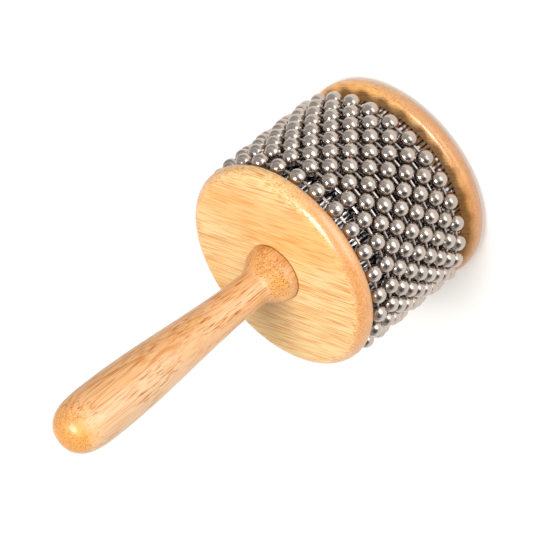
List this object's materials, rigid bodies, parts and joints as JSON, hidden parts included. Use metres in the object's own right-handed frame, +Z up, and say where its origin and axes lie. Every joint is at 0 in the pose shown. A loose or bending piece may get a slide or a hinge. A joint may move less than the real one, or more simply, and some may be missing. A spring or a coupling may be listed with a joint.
{
  "type": "cabasa",
  "caption": "Hand percussion cabasa: turned wooden handle and end plates, with loops of steel ball chain that turn round a rippled steel sleeve on the drum.",
  "frame": {"origin": "Centre of the rear plate's outer face, on the drum's axis, where the cabasa stands when put down.", "axes": "+Z runs up the axis of the drum from the rear plate to the butt of the handle. +X and +Y are level; the sleeve's seam is on the +Y side."},
  "size_m": [0.0944, 0.0944, 0.1995],
  "materials": {
    "handle_wood": "satin clear lacquer on pale honey hardwood",
    "plate_wood": "satin clear lacquer on pale honey hardwood",
    "core_wood": "bare turned wood, hidden",
    "sleeve_steel": "bright rolled ripples",
    "brad_steel": "bright wire brads, hidden",
    "bead_nickel": "polished nickel plate on hollow steel beads",
    "link_steel": "bright drawn wire"
  },
  "bodies": {
    "drum": {"handle": "handle_wood", "front_plate": "plate_wood", "rear_plate": "plate_wood", "drum_core": "core_wood", "ripple_sleeve": "sleeve_steel", "sleeve_brads": "brad_steel"},
    "chain_1": {"chain_1_beads": "bead_nickel", "chain_1_links": "link_steel"},
    "chain_2": {"chain_2_beads": "bead_nickel", "chain_2_links": "link_steel"},
    "chain_3": {"chain_3_beads": "bead_nickel", "chain_3_links": "link_steel"},
    "chain_4": {"chain_4_beads": "bead_nickel", "chain_4_links": "link_steel"},
    "chain_5": {"chain_5_beads": "bead_nickel", "chain_5_links": "link_steel"},
    "chain_6": {"chain_6_beads": "bead_nickel", "chain_6_links": "link_steel"},
    "chain_7": {"chain_7_beads": "bead_nickel", "chain_7_links": "link_steel"},
    "chain_8": {"chain_8_beads": "bead_nickel", "chain_8_links": "link_steel"},
    "chain_9": {"chain_9_beads": "bead_nickel", "chain_9_links": "link_steel"}
  },
  "joints": [
    {"name": "chain_1_turn", "type": "hinge", "parent": "drum", "child": "chain_1", "pos_m": [0, 0, 0], "axis": [0, 0, 1], "continuous": true},
    {"name": "chain_2_turn", "type": "hinge", "parent": "drum", "child": "chain_2", "pos_m": [0, 0, 0], "axis": [0, 0, 1], "continuous": true},
    {"name": "chain_3_turn", "type": "hinge", "parent": "drum", "child": "chain_3", "pos_m": [0, 0, 0], "axis": [0, 0, 1], "continuous": true},
    {"name": "chain_4_turn", "type": "hinge", "parent": "drum", "child": "chain_4", "pos_m": [0, 0, 0], "axis": [0, 0, 1], "continuous": true},
    {"name": "chain_5_turn", "type": "hinge", "parent": "drum", "child": "chain_5", "pos_m": [0, 0, 0], "axis": [0, 0, 1], "continuous": true},
    {"name": "chain_6_turn", "type": "hinge", "parent": "drum", "child": "chain_6", "pos_m": [0, 0, 0], "axis": [0, 0, 1], "continuous": true},
    {"name": "chain_7_turn", "type": "hinge", "parent": "drum", "child": "chain_7", "pos_m": [0, 0, 0], "axis": [0, 0, 1], "continuous": true},
    {"name": "chain_8_turn", "type": "hinge", "parent": "drum", "child": "chain_8", "pos_m": [0, 0, 0], "axis": [0, 0, 1], "continuous": true},
    {"name": "chain_9_turn", "type": "hinge", "parent": "drum", "child": "chain_9", "pos_m": [0, 0, 0], "axis": [0, 0, 1], "continuous": true}
  ],
  "couplings": [
    {"joint": "chain_2_turn", "follows": "chain_1_turn", "ratio": 1},
    {"joint": "chain_3_turn", "follows": "chain_1_turn", "ratio": 1},
    {"joint": "chain_4_turn", "follows": "chain_1_turn", "ratio": 1},
    {"joint": "chain_5_turn", "follows": "chain_1_turn", "ratio": 1},
    {"joint": "chain_6_turn", "follows": "chain_1_turn", "ratio": 1},
    {"joint": "chain_7_turn", "follows": "chain_1_turn", "ratio": 1},
    {"joint": "chain_8_turn", "follows": "chain_1_turn", "ratio": 1},
    {"joint": "chain_9_turn", "follows": "chain_1_turn", "ratio": 1}
  ]
}
